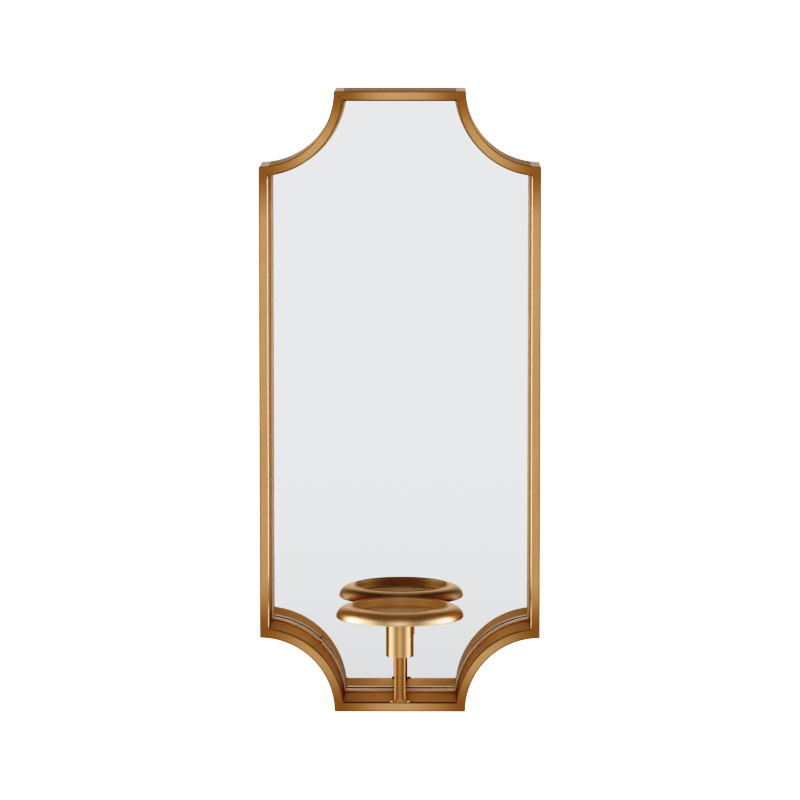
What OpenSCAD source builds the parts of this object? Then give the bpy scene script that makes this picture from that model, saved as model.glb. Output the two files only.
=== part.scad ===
// Wall sconce candle holder: a deep shadow-box frame with four scooped corners, a mirror set
// near the wall, and one pillar-candle dish carried on a post at the middle of the bottom bar.
// Millimetres, +Z up, +X to the viewer's right, +Y into the wall.
// The wall is the plane y = 0. The origin is the middle of the hanger's keyhole entry, on the wall.

/* [Frame] */
// Overall width of the frame
frame_w = 203; // [180:1:260]
// Overall height of the frame
frame_h = 450; // [400:1:600]
// Radius of the four scooped corners, measured on their outer side
corner_r = 54; // [45:1:60]
// Thickness of every frame bar as seen from the front
bar_t = 7; // [6:0.5:9]
// Sheet thickness of the hollow frame bars
tube_wall = 1.5; // [1:0.1:1.5]
// Thickness of the plates that close the visible tube ends
cap_t = 1.5; // [1:0.1:2]

/* [Mirror and back] */
// Distance from the front face of the frame to the face of the mirror
mirror_setback = 53; // [52:0.5:60]
// How far the stop strip stands in from the inner wall of the frame
stop_t = 1.5; // [1:0.1:3]
// Width of the stop strip, front to back
stop_w = 6; // [3:0.5:10]
// Thickness of the glazing tape between stop strip and glass
tape_t = 2.5; // [1:0.5:3]
// Thickness of the mirror glass
glass_t = 3; // [2:0.5:4]
// Thickness of the foam sheet behind the glass
foam_t = 1; // [0.5:0.5:2]
// Thickness of the hardboard back panel
board_t = 3; // [2.5:0.5:4]
// Play between the frame's inner wall and the glass, foam and board
glazing_gap = 0.3; // [0.2:0.1:0.5]

/* [Candle dish] */
// Largest radius of the dish
dish_r = 46.2; // [42:0.1:48]
// Height of the dish
dish_h = 9.5; // [9:0.1:14]
// Radius of the candle seat
seat_r = 33.7; // [30:0.1:34]
// Depth of the candle seat below the rim's crest
seat_depth = 6.2; // [4:0.1:6.2]
// Height of the dish's widest line above its underside
widest_h = 1.2; // [1:0.1:2]
// Radius of the small rounding from the crest down into the seat
lip_r = 1.3; // [1:0.1:1.5]
// Height of the dish's underside above the inner face of the bottom bar
dish_rise = 62; // [50:1:90]

/* [Post and stem] */
// Width of the upright post
post_w = 9; // [8:0.5:12]
// Depth of the upright post, front to back
post_d = 5; // [4:0.5:6]
// Diameter of the turned stem under the dish
stem_d = 20; // [16:1:22]
// Length of the stem
stem_len = 28.6; // [24:0.1:35]
// How far the post enters the stem
post_entry = 14; // [10:1:15]

/* [Hanger] */
// Width of the keyhole plate
hanger_w = 60; // [50:1:70]
// Thickness of the keyhole plate, and the gap between frame and wall
hanger_t = 3; // [2.9:0.1:4]
// Height of the frame's top above the keyhole entry
hanger_drop = 24; // [24:1:40]
// Radius of the keyhole entry
key_r = 5; // [4.5:0.1:6]
// Radius of the keyhole slot
key_slot_r = 2.5; // [2:0.1:3]
// Rise from the keyhole entry to the top of the slot's centre line
key_rise = 8; // [7:0.5:9]

/* [Turn buttons] */
// Distance from the pivot to the centre of the button's far end
button_reach = 11; // [9:0.5:14]
// Thickness of a turn button
button_t = 1.2; // [1:0.1:1.2]
// Height of the two side buttons above and below the frame's middle
button_z = 110; // [80:1:130]

/* [Hidden] */

$fn = 96;
GOLD = [0.76, 0.56, 0.31];
STEEL = [0.72, 0.72, 0.72];
ZINC = [0.80, 0.79, 0.74];

cut = 1;                                   // how far a cutting shape runs past what it cuts
half_w = frame_w / 2;
half_h = frame_h / 2;
mid_z = hanger_drop - half_h;              // height of the frame's middle
back_y = -hanger_t;                        // back face of the frame bars
bar_depth = mirror_setback + glass_t + foam_t + board_t;
front_y = back_y - bar_depth;              // front face of the frame bars
inner_w = half_w - bar_t;                  // half the clear width inside the rails
inner_h = half_h - bar_t;                  // half the clear height between top and bottom bars
inner_r = corner_r + bar_t;                // radius of the scooped corners inside the frame

tape_setback = 0.3;                        // the tape stops short of the strip's edge
glass_y = front_y + mirror_setback;
tape_y = glass_y - tape_t;
stop_y = tape_y - stop_w;
foam_y = glass_y + glass_t;
board_y = foam_y + foam_t;

axis_y = front_y + post_d / 2;             // common axis of post, stem and dish
floor_z = mid_z - inner_h;                 // inner face of the bottom bar
dish_z = floor_z + dish_rise;              // underside of the dish
stem_z = dish_z - stem_len;                // lower end of the stem
crest_r = seat_r + lip_r;                  // radius of the dish's crest line
foot_r = dish_r - widest_h;                // edge of the flat underside
seat_z = dish_h - seat_depth;              // top of the seat's floor above the underside
arc_steps = 16;                            // straight stretches in each rounded part of the dish
relief_in_r = 14;                          // the underside is relieved between these two radii
relief_out_r = 38;
relief_h = 0.8;
socket_play = 0.1;                         // play of the post in the stem's pocket

screw_play = 0.05;                         // play of a screw in the hole that holds it
dish_screw_r = 2.5;
dish_screw_head_r = 4.6;
dish_screw_head_h = 2.1;
dish_screw_len = 14;
stem_hole_depth = 12.5;

button_play = 0.08;                        // running clearance of a button on its screw
button_lift = 0.1;                         // air between a button and the frame's back
button_end_r = bar_t / 2;
button_screw_r = 1.5;
button_screw_len = 8;
button_head_r = 2.9;
button_head_h = 1.4;
rail_mid_x = half_w - bar_t / 2;           // centre line of a rail's back face

hanger_low = 12;                           // the plate's lower edge below the keyhole entry
hanger_inset = 0.5;                        // the plate's upper edge below the frame's top
hanger_corner_r = 3;
hanger_screw_x = 22;
hanger_screw_z = hanger_drop - bar_t / 2;
hanger_head_r = 2.8;
hanger_head_h = 1.5;
hanger_screw_len = 9;
window_half_w = 8;                         // window in the board for the wall screw's head
window_low = 8;
window_high = 14;

bumper_r = 5;
bumper_x = 70;
bumper_z = 155;

// Turns a flat outline drawn in X and Z into a plate that starts at y = front.
module plate(front, depth) {
    translate([0, front + depth, 0]) rotate([90, 0, 0]) linear_extrude(depth) children();
}

// Repeats a shape at the four corners, from the one at the upper right.
module at_four_corners() {
    for (side = [0, 1]) for (end = [0, 1])
        translate([0, 0, mid_z]) mirror([side, 0, 0]) mirror([0, 0, end]) children();
}

// Flat outline that follows the frame's inside, drawn smaller by gap all round.
module inside_outline(gap) {
    translate([0, mid_z]) difference() {
        square([2 * (inner_w - gap), 2 * (inner_h - gap)], center = true);
        for (x = [-half_w, half_w]) for (z = [-half_h, half_h])
            translate([x, z]) circle(inner_r + gap);
    }
}

// Flat ring that lies against the frame's inside and stands in from it by width.
module inside_ring(width) {
    difference() {
        inside_outline(0);
        inside_outline(width);
    }
}

// Flat piece of the upper right scoop: a ring round the frame's corner.
module scoop(inner, outer) {
    translate([half_w, half_h]) difference() {
        circle(outer);
        circle(inner);
    }
}

// Flat outline of the upper right corner arc between its two joints.
module arc_outline(inset) {
    intersection() {
        scoop(corner_r + inset, inner_r - inset);
        square([inner_w, half_h - cap_t]);
    }
}

// Hollow corner arc at the upper right: it ends at the rail's side and under its end cap.
module corner_arc() {
    difference() {
        plate(front_y, bar_depth) arc_outline(0);
        plate(front_y + tube_wall, bar_depth - 2 * tube_wall)
            intersection() {
                scoop(corner_r + tube_wall, inner_r - tube_wall);
                square([inner_w + cut, half_h]);
            }
    }
}

module placed_arc(side, end) {
    color(GOLD) translate([0, 0, mid_z]) mirror([side, 0, 0]) mirror([0, 0, end]) corner_arc();
}

// Upper hollow bar between the two corner arcs, its ends coped to their round sides.
module upper_bar() {
    difference() {
        plate(front_y, bar_depth) difference() {
            translate([-half_w, inner_h]) square([frame_w, bar_t]);
            for (x = [-half_w, half_w]) translate([x, half_h]) circle(inner_r);
        }
        translate([-half_w, front_y + tube_wall, inner_h + tube_wall])
            cube([frame_w, bar_depth - 2 * tube_wall, bar_t - 2 * tube_wall]);
    }
}

module top_bar() {
    color(GOLD) difference() {
        translate([0, 0, mid_z]) upper_bar();
        for (x = [-hanger_screw_x, hanger_screw_x])
            screw_hole(x, hanger_screw_z, button_screw_r + screw_play);
    }
}

module bottom_bar() {
    color(GOLD) difference() {
        translate([0, 0, mid_z]) mirror([0, 0, 1]) upper_bar();
        screw_hole(0, floor_z - bar_t / 2, button_screw_r + screw_play);
    }
}

// Hole through the back wall of a frame bar.
module screw_hole(x, z, r) {
    translate([x, back_y + cut, z]) rotate([90, 0, 0]) cylinder(r = r, h = tube_wall + 2 * cut);
}

// Hollow rail on the right, its ends cut to the round of the end caps.
module rail() {
    difference() {
        plate(front_y, bar_depth) difference() {
            translate([inner_w, -half_h]) square([bar_t, frame_h]);
            for (z = [-half_h, half_h]) translate([half_w, z]) circle(corner_r + cap_t);
        }
        translate([inner_w + tube_wall, front_y + tube_wall, -half_h])
            cube([bar_t - 2 * tube_wall, bar_depth - 2 * tube_wall, frame_h]);
        for (z = [-button_z, button_z])
            screw_hole(rail_mid_x, z, button_screw_r + screw_play);
    }
}

module left_rail() {
    color(GOLD) translate([0, 0, mid_z]) mirror([1, 0, 0]) rail();
}

module right_rail() {
    color(GOLD) translate([0, 0, mid_z]) rail();
}

// Flat plates that close the ends of the corner arcs on the top and bottom of the frame.
module arc_end_caps() {
    color(GOLD) at_four_corners() plate(front_y, bar_depth) intersection() {
        scoop(corner_r, inner_r);
        translate([0, half_h - cap_t]) square([inner_w, cap_t]);
    }
}

// Plates that close the ends of the rails and carry on the round of the corner arcs.
module rail_end_caps() {
    color(GOLD) at_four_corners() plate(front_y, bar_depth) intersection() {
        scoop(corner_r, corner_r + cap_t);
        translate([inner_w, 0]) square([bar_t, half_h]);
    }
}

// Flat strip bent round the inside of the frame. The mirror comes up against it from behind.
module mirror_stop_strip() {
    color(GOLD) plate(stop_y, stop_w) inside_ring(stop_t);
}

module glazing_tape() {
    color([0.10, 0.10, 0.10]) plate(tape_y, tape_t) inside_ring(stop_t - tape_setback);
}

module mirror_glass() {
    color([0.86, 0.88, 0.90]) plate(glass_y, glass_t) inside_outline(glazing_gap);
}

// Board or foam outline with the window for the wall screw's head.
module backing_outline() {
    difference() {
        inside_outline(glazing_gap);
        translate([-window_half_w, -window_low])
            square([2 * window_half_w, window_low + window_high]);
    }
}

module foam_sheet() {
    color([0.88, 0.88, 0.86]) plate(foam_y, foam_t) backing_outline();
}

module back_panel() {
    color([0.36, 0.25, 0.17]) plate(board_y, board_t) backing_outline();
}

// Turn button on its pivot at the origin, pointing along +X, its back face at y = 0.
module turn_button() {
    color(ZINC) plate(0, button_t) difference() {
        union() {
            circle(button_end_r);
            translate([0, -button_end_r]) square([button_reach, 2 * button_end_r]);
            translate([button_reach, 0]) circle(button_end_r);
        }
        circle(button_screw_r + button_play);
    }
}

// Puts a shape on a turn button's pivot. The angle says which way the button points.
module on_pivot(x, z, angle) {
    translate([x, back_y, z]) rotate([0, -angle, 0]) children();
}

module placed_button(x, z, angle) {
    on_pivot(x, z, angle) translate([0, button_lift, 0]) turn_button();
}

module button_screw() {
    under_head = 2 * button_lift + button_t;
    rotate([90, 0, 0]) {
        translate([0, 0, -under_head - button_head_h])
            cylinder(r = button_head_r, h = button_head_h);
        translate([0, 0, -under_head]) cylinder(r = button_screw_r, h = button_screw_len);
    }
}

module turn_button_screws() {
    color(STEEL) {
        for (x = [-rail_mid_x, rail_mid_x]) for (z = [-button_z, button_z])
            on_pivot(x, mid_z + z, 0) button_screw();
        on_pivot(0, floor_z - bar_t / 2, 0) button_screw();
    }
}

// Steel plate that hangs on one wall screw by its keyhole.
module hanger_plate() {
    top = hanger_drop - hanger_inset;
    color(STEEL) difference() {
        plate(back_y, hanger_t) difference() {
            union() {
                translate([-hanger_w / 2, hanger_corner_r - hanger_low])
                    square([hanger_w, top + hanger_low - hanger_corner_r]);
                translate([hanger_corner_r - hanger_w / 2, -hanger_low])
                    square([hanger_w - 2 * hanger_corner_r, hanger_corner_r]);
                for (x = [-1, 1])
                    translate([x * (hanger_w / 2 - hanger_corner_r), hanger_corner_r - hanger_low])
                        circle(hanger_corner_r);
            }
            circle(key_r);
            translate([-key_slot_r, 0]) square([2 * key_slot_r, key_rise]);
            translate([0, key_rise]) circle(key_slot_r);
        }
        for (x = [-hanger_screw_x, hanger_screw_x]) translate([x, 0, hanger_screw_z])
            rotate([90, 0, 0]) {
                translate([0, 0, -cut])
                    cylinder(r = button_screw_r + screw_play, h = hanger_t + 2 * cut);
                cylinder(r1 = hanger_head_r + screw_play, r2 = button_screw_r + screw_play,
                    h = hanger_head_h);
            }
    }
}

module hanger_screws() {
    color(ZINC) for (x = [-hanger_screw_x, hanger_screw_x])
        translate([x, 0, hanger_screw_z]) rotate([90, 0, 0]) {
            cylinder(r1 = hanger_head_r, r2 = button_screw_r, h = hanger_head_h);
            cylinder(r = button_screw_r, h = hanger_screw_len);
        }
}

module wall_bumpers() {
    color([0.13, 0.13, 0.13]) for (x = [-bumper_x, bumper_x]) for (z = [-bumper_z, bumper_z])
        translate([x, 0, mid_z + z]) rotate([90, 0, 0]) cylinder(r = bumper_r, h = hanger_t);
}

// Upright flat bar, welded to the bottom bar with its face flush with the frame's front.
module support_post() {
    color(GOLD) translate([-post_w / 2, front_y, floor_z])
        cube([post_w, post_d, stem_z - floor_z + post_entry]);
}

// Turned stem with a pocket for the post below and a tapped hole for the dish screw above.
module stem_socket() {
    pocket_w = post_w + 2 * socket_play;
    pocket_d = post_d + 2 * socket_play;
    color(GOLD) translate([0, axis_y, stem_z]) difference() {
        cylinder(d = stem_d, h = stem_len);
        translate([-pocket_w / 2, -pocket_d / 2, -cut])
            cube([pocket_w, pocket_d, post_entry + socket_play + cut]);
        translate([0, 0, stem_len - stem_hole_depth])
            cylinder(r = dish_screw_r + screw_play, h = stem_hole_depth + cut);
    }
}

// Point on an ellipse round centre, at angle from the radial direction.
function on_ellipse(centre, across, up, angle) =
    [centre[0] + across * cos(angle), centre[1] + up * sin(angle)];

// Half section of the dish: flat underside, broad round rim, lip and flat candle seat.
module dish_section() {
    hole_r = dish_screw_r + 2 * screw_play;
    rim = [for (i = [0:arc_steps])
        on_ellipse([crest_r, widest_h], dish_r - crest_r, dish_h - widest_h, 90 * i / arc_steps)];
    lip = [for (i = [1:arc_steps])
        on_ellipse([crest_r, dish_h - lip_r], lip_r, lip_r, 90 + 90 * i / arc_steps)];
    edge = [for (i = [0:arc_steps - 1])
        on_ellipse([foot_r, widest_h], widest_h, widest_h, -90 + 90 * i / arc_steps)];
    polygon(concat(
        [[hole_r, 0], [relief_in_r, 0], [relief_in_r, relief_h],
            [relief_out_r, relief_h], [relief_out_r, 0]],
        edge, rim, lip,
        [[seat_r, seat_z], [dish_screw_head_r + screw_play, seat_z],
            [hole_r, seat_z - dish_screw_head_h]]));
}

module candle_dish() {
    color(GOLD) translate([0, axis_y, dish_z]) rotate_extrude() dish_section();
}

module dish_screw() {
    color(GOLD) translate([0, axis_y, dish_z + seat_z]) mirror([0, 0, 1]) {
        cylinder(r1 = dish_screw_head_r, r2 = dish_screw_r, h = dish_screw_head_h);
        cylinder(r = dish_screw_r, h = dish_screw_len);
    }
}

top_bar();
bottom_bar();
left_rail();
right_rail();
placed_arc(1, 0);  // corner_arc_top_left
placed_arc(0, 0);  // corner_arc_top_right
placed_arc(1, 1);  // corner_arc_bottom_left
placed_arc(0, 1);  // corner_arc_bottom_right
arc_end_caps();
rail_end_caps();
mirror_stop_strip();
glazing_tape();
mirror_glass();
foam_sheet();
back_panel();
placed_button(-rail_mid_x, mid_z + button_z, 0);  // turn_button_upper_left
placed_button(rail_mid_x, mid_z + button_z, 180);  // turn_button_upper_right
placed_button(-rail_mid_x, mid_z - button_z, 0);  // turn_button_lower_left
placed_button(rail_mid_x, mid_z - button_z, 180);  // turn_button_lower_right
placed_button(0, floor_z - bar_t / 2, 90);  // turn_button_bottom
turn_button_screws();
hanger_plate();
hanger_screws();
wall_bumpers();
support_post();
stem_socket();
candle_dish();
dish_screw();
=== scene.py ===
"""Looks of a gold wall sconce: a deep frame with scooped corners, a mirror and one candle dish.

Metres, +Z up. The frame faces -Y and hangs on the wall plane y = 0."""

import math

import bmesh
import bpy
from mathutils import Matrix, Vector


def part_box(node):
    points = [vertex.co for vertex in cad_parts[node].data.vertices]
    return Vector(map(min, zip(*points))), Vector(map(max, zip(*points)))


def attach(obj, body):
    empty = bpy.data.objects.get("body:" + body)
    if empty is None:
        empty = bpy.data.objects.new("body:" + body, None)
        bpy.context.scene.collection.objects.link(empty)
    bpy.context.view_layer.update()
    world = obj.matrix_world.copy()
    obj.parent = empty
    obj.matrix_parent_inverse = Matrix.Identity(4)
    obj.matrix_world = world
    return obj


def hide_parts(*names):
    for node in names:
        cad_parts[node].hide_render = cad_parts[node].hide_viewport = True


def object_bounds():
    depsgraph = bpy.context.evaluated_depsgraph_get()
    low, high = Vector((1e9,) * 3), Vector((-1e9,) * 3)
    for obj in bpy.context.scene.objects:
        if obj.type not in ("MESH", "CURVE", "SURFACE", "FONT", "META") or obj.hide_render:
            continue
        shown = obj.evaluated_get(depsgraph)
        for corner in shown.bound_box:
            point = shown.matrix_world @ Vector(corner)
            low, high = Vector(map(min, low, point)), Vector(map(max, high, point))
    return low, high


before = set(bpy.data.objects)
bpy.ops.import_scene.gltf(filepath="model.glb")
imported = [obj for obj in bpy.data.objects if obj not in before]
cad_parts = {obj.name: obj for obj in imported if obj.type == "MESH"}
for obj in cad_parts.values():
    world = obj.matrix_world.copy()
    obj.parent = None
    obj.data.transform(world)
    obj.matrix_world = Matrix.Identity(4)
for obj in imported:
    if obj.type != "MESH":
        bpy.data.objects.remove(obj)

MM = 0.001
CAD_LOW, CAD_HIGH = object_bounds()

# The frame's own sizes
HALF_W = CAD_HIGH.x
HALF_H = (CAD_HIGH.z - CAD_LOW.z) / 2
MID_Z = (CAD_HIGH.z + CAD_LOW.z) / 2
FRONT_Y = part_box("right_rail")[0].y
BACK_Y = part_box("right_rail")[1].y
INNER_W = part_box("right_rail")[0].x
BAR_T = HALF_W - INNER_W
FLOOR_Z = CAD_LOW.z + BAR_T
CORNER_R = 54 * MM                      # the scoops, centred on the corners of the frame's box
CHAMFER = 0.8 * MM                      # bevel on the straight bars' inner front edges
ARC_CHAMFER = 0.2 * MM                  # the same on the arcs
OUTER_ROLL = (1.0 * MM, 0.45 * MM)      # the outer front edges: along the face, and in depth
BACK_EDGE_R = 0.4 * MM
CRISP_R = 0.15 * MM                     # an edge that is only just broken
CORNER_SOFT = 1.3 * MM                  # rounding of the outline's corners
ARC_CAP_T = 1.5 * MM                    # end caps of the arcs, in the top and bottom faces
RAIL_CAP_T = 1.3 * MM                   # end caps of the rails, in the shoulder faces
STOP_T = 1.5 * MM                       # how far the stop strip stands in from the bars

# Where the bars, arcs, rails and caps meet, measured from the frame's middle
BAR_END_X = HALF_W - CORNER_R - BAR_T
ARC_END_X = INNER_W - 0.3 * MM
CAP_Z = HALF_H - ARC_CAP_T
SHOULDER_Z = HALF_H - CORNER_R - RAIL_CAP_T

ARC_STEPS = 56
CORNER_STEPS = 4
ROUND_STEPS = 5                         # in each rounded corner of a section
LATHE_STEPS = 160
SAME_PLACE = 1e-7


# ---------------------------------------------------------------- mesh helpers

def spaced(low, high, steps):
    """Evenly spaced numbers, both ends included."""
    return [low + (high - low) * i / steps for i in range(steps + 1)]


def in_mm(points):
    return [(a * MM, b * MM) for a, b in points]


def bezier(start, control, end):
    """Points of a quadratic curve round a corner, both ends included."""
    points = []
    for t in spaced(0, 1, CORNER_STEPS):
        points.append(tuple((1 - t) ** 2 * a + 2 * t * (1 - t) * b + t * t * c
                            for a, b, c in zip(start, control, end)))
    return points


def quarter_outline(d):
    """The frame's upper right outline, d inside its outer edge, from the top to the side."""
    r = CORNER_R + d
    lean = math.asin(d / r)
    start, end = math.pi + lean, 1.5 * math.pi - lean
    soft = CORNER_SOFT / r
    arc = [(HALF_W + r * math.cos(a), HALF_H + r * math.sin(a))
           for a in spaced(start + soft, end - soft, ARC_STEPS)]
    upper = (HALF_W + r * math.cos(start), HALF_H - d)
    lower = (HALF_W - d, HALF_H + r * math.sin(end))
    upper_corner = bezier((upper[0] - CORNER_SOFT, upper[1]), upper, arc[0])
    lower_corner = bezier(arc[-1], lower, (lower[0], lower[1] - CORNER_SOFT))
    return upper_corner + arc[1:-1] + lower_corner


def whole_outline(d):
    """The frame's outline, d inside its outer edge, clockwise from the top."""
    quarter = quarter_outline(d)
    back = quarter[::-1]
    return (quarter + [(x, -z) for x, z in back] + [(-x, -z) for x, z in quarter]
            + [(-x, z) for x, z in back])


def rounded_section(d0, d1, y0, y1, radii, steps=ROUND_STEPS):
    """Section of a bar as (distance inside the outer edge, y), with rounded corners.

    Each radius is (along the face, in depth), in the order outer front, inner front, inner back,
    outer back."""
    places = [(d0, y0, 1, 1, 180), (d1, y0, -1, 1, 270), (d1, y1, -1, -1, 0), (d0, y1, 1, -1, 90)]
    points = []
    for (d, y, inward, back, first), (across, deep) in zip(places, radii):
        for degrees in spaced(first, first + 90, steps):
            a = math.radians(degrees)
            points.append((d + inward * across + across * math.cos(a),
                           y + back * deep + deep * math.sin(a)))
    return points


def bar_section(chamfer):
    """Section of the frame's bars, with a bevel in place of its inner front corner."""
    crisp, back = (CRISP_R, CRISP_R), (BACK_EDGE_R, BACK_EDGE_R)
    points = rounded_section(0, BAR_T, FRONT_Y, BACK_Y, (OUTER_ROLL, crisp, back, back))
    corner = ROUND_STEPS + 1
    lead = chamfer / 4
    bevel = [(BAR_T - chamfer - lead, FRONT_Y), (BAR_T - chamfer + lead / 2, FRONT_Y + lead / 3),
             (BAR_T - lead / 3, FRONT_Y + chamfer - lead / 2), (BAR_T, FRONT_Y + chamfer + lead)]
    return points[:corner] + bevel + points[2 * corner:]


def join_loops(bm, loops, closed=True):
    """Faces between neighbouring loops of vertices. A loop of one vertex is a point on an axis."""
    for a, b in zip(loops, loops[1:] + loops[:1] if closed else loops[1:]):
        n = max(len(a), len(b))
        if n == 1:
            continue
        for i in range(n):
            j = (i + 1) % n
            if len(a) == 1:
                bm.faces.new((a[0], b[j], b[i]))
            elif len(b) == 1:
                bm.faces.new((a[i], a[j], b[0]))
            else:
                bm.faces.new((a[i], a[j], b[j], b[i]))


def swept_ring(section, arc_section=None):
    """Closed ring: each point of the section runs round its own outline.

    A second section, of as many points, is for the arcs. It changes into the first at their
    ends."""
    ramp = spaced(0, 1, CORNER_STEPS)
    shares = (ramp + [1.0] * (ARC_STEPS - 1) + ramp[::-1]) * 4
    bm = bmesh.new()
    loops = []
    for (d, y), (arc_d, arc_y) in zip(section, arc_section or section):
        pairs = zip(whole_outline(d), whole_outline(arc_d), shares)
        loops.append([bm.verts.new((x + (u - x) * t, y + (arc_y - y) * t, MID_Z + z + (v - z) * t))
                      for (x, z), (u, v), t in pairs])
    join_loops(bm, loops)
    return bm


def kept_part(source, cuts):
    """A copy of a closed mesh without what lies outside some planes, its cut faces closed."""
    bm = source.copy()
    for point, outward in cuts:
        bmesh.ops.bisect_plane(bm, geom=bm.verts[:] + bm.edges[:] + bm.faces[:], dist=SAME_PLACE,
                               plane_co=point, plane_no=outward, clear_outer=True)
        open_edges = [e for e in bm.edges if e.is_boundary]
        bmesh.ops.holes_fill(bm, edges=open_edges, sides=0)
    return bm


def lathe(profile, centre=(0, 0, 0), steps=LATHE_STEPS):
    """Turned solid round a vertical axis. The profile is (radius, height)."""
    bm = bmesh.new()
    x, y, z = centre
    turns = [2 * math.pi * i / steps for i in range(steps)]
    loops = []
    for r, h in profile:
        ring = [(x + r * math.cos(a), y + r * math.sin(a)) for a in turns] if r else [(x, y)]
        loops.append([bm.verts.new((u, v, z + h)) for u, v in ring])
    join_loops(bm, loops, closed=False)
    return bm


def prism(outline, levels):
    """Solid between two flat ends. levels is (function that shrinks the outline, y) from front
    to back."""
    bm = bmesh.new()
    loops = [[bm.verts.new((x, y, z)) for x, z in shrink(outline)] for shrink, y in levels]
    join_loops(bm, loops, closed=False)
    bm.faces.new(loops[0])
    bm.faces.new(loops[-1][::-1])
    return bm


def inset(distance):
    """A function that moves a closed outline inwards by a distance, point by point."""
    sharpest = 0.3          # keeps the point of a sharp corner from moving too far

    def shrink(outline):
        n = len(outline)
        area = sum(outline[i - 1][0] * outline[i][1] - outline[i][0] * outline[i - 1][1]
                   for i in range(n))
        side = 1 if area > 0 else -1
        moved = []
        for i in range(n):
            here = Vector(outline[i])
            before = (here - Vector(outline[i - 1])).normalized()
            after = (Vector(outline[(i + 1) % n]) - here).normalized()
            first = Vector((-before.y, before.x)) * side
            second = Vector((-after.y, after.x)) * side
            middle = (first + second).normalized()
            moved.append(tuple(here + middle * distance / max(middle.dot(first), sharpest)))
        return moved
    return shrink


def merge(bm, other):
    """Adds another mesh's solids to bm, and frees it."""
    spare = bpy.data.meshes.new("spare")
    other.to_mesh(spare)
    other.free()
    bm.from_mesh(spare)
    bpy.data.meshes.remove(spare)


def bead(bm, centre, radii):
    """Adds a small rounded bead, such as a tack weld."""
    steps, rows = 14, 8
    half_turn = [math.pi * i / rows - math.pi / 2 for i in range(rows + 1)]
    profile = [(abs(math.cos(a)) if 0 < i < rows else 0, math.sin(a))
               for i, a in enumerate(half_turn)]
    ball = lathe(profile, steps=steps)
    bmesh.ops.scale(ball, vec=radii, verts=ball.verts)
    bmesh.ops.translate(ball, vec=centre, verts=ball.verts)
    merge(bm, ball)


def circle(x, z, r, steps=40, first=0, last=360):
    """Points of a circle, or of an arc with both ends included."""
    turns = spaced(first, last, steps)[:-1 if last - first == 360 else None]
    return [(x + r * math.cos(math.radians(t)), z + r * math.sin(math.radians(t))) for t in turns]


def drilled_plate(walls):
    """Flat plate from its walls. A wall is a list of (outline, y) from the front face to the
    back face."""
    bm = bmesh.new()
    ends = {}
    for wall in walls:
        loops = [[bm.verts.new((x, y, z)) for x, z in outline] for outline, y in wall]
        join_loops(bm, loops, closed=False)
        for loop in (loops[0], loops[-1]):
            edges = [bm.edges.get((loop[i - 1], loop[i])) for i in range(len(loop))]
            ends.setdefault(round(loop[0].co.y, 6), []).extend(edges)
    for edges in ends.values():
        bmesh.ops.triangle_fill(bm, use_beauty=True, edges=edges)
    return bm


def eased_wall(outline, front, back, ease):
    """Outer wall of a plate, with its two edges eased."""
    small = inset(ease)(outline)
    return [(small, front), (outline, front + ease), (outline, back - ease), (small, back)]


def eased_hole(outline, front, back, ease):
    """Wall of a hole in a plate, wider at its two ends. outline is a function of the growth."""
    return [(outline(ease), front), (outline(0), front + ease), (outline(0), back - ease),
            (outline(ease), back)]


def cross_screw(head, shank_r, length, arm, width, depth, steps=40):
    """Screw with a cross recess. Its head's top is at z = 0, and it points down.

    The head's profile is (radius, height), from the top's rim to the shank."""
    tip = 0.5 * shank_r
    shank = [(shank_r, tip - length), (shank_r - tip, -length), (0, -length)]
    bm = lathe(head + shank, steps=steps)
    levels = []
    for share, z in ((1.0, 0.0), (0.72, -depth)):       # the recess narrows towards its bottom
        a, w = arm * share, width * share / 2
        cross = [(a, -w), (a, w), (w, w), (w, a), (-w, a), (-w, w), (-a, w), (-a, -w), (-w, -w),
                 (-w, -a), (w, -a), (w, -w)]
        levels.append([bm.verts.new((x, y, z)) for x, y in cross])
    join_loops(bm, levels, closed=False)
    bm.faces.new(levels[1])
    rim = [e for e in bm.edges if e.is_boundary]
    bmesh.ops.triangle_fill(bm, use_beauty=True, edges=rim)
    return bm


def placed(bm, x, y, z, towards_wall=True):
    """Moves a turned piece to its place. If asked, its top is first turned towards the wall."""
    if towards_wall:
        bmesh.ops.rotate(bm, matrix=Matrix.Rotation(math.radians(-90), 3, "X"), verts=bm.verts)
    bmesh.ops.translate(bm, vec=(x, y, z), verts=bm.verts)
    return bm


def piece(name, bm, materials, replaced, body="sconce", sharp=35):
    """Makes a mesh a finished piece that rides on a body and stands for some CAD nodes.

    Edges that bend by more than sharp degrees stay crisp."""
    bmesh.ops.recalc_face_normals(bm, faces=bm.faces)
    mesh = bpy.data.meshes.new(name)
    bm.to_mesh(mesh)
    bm.free()
    for polygon in mesh.polygons:
        polygon.use_smooth = True
    mesh.set_sharp_from_angle(angle=math.radians(sharp))
    made = bpy.data.objects.new(name, mesh)
    bpy.context.scene.collection.objects.link(made)
    for material in materials:
        mesh.materials.append(material)
    normals = made.modifiers.new("even_shading", "WEIGHTED_NORMAL")
    normals.keep_sharp = True
    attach(made, body)
    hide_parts(*replaced)
    return made


# ---------------------------------------------------------------- materials

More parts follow.
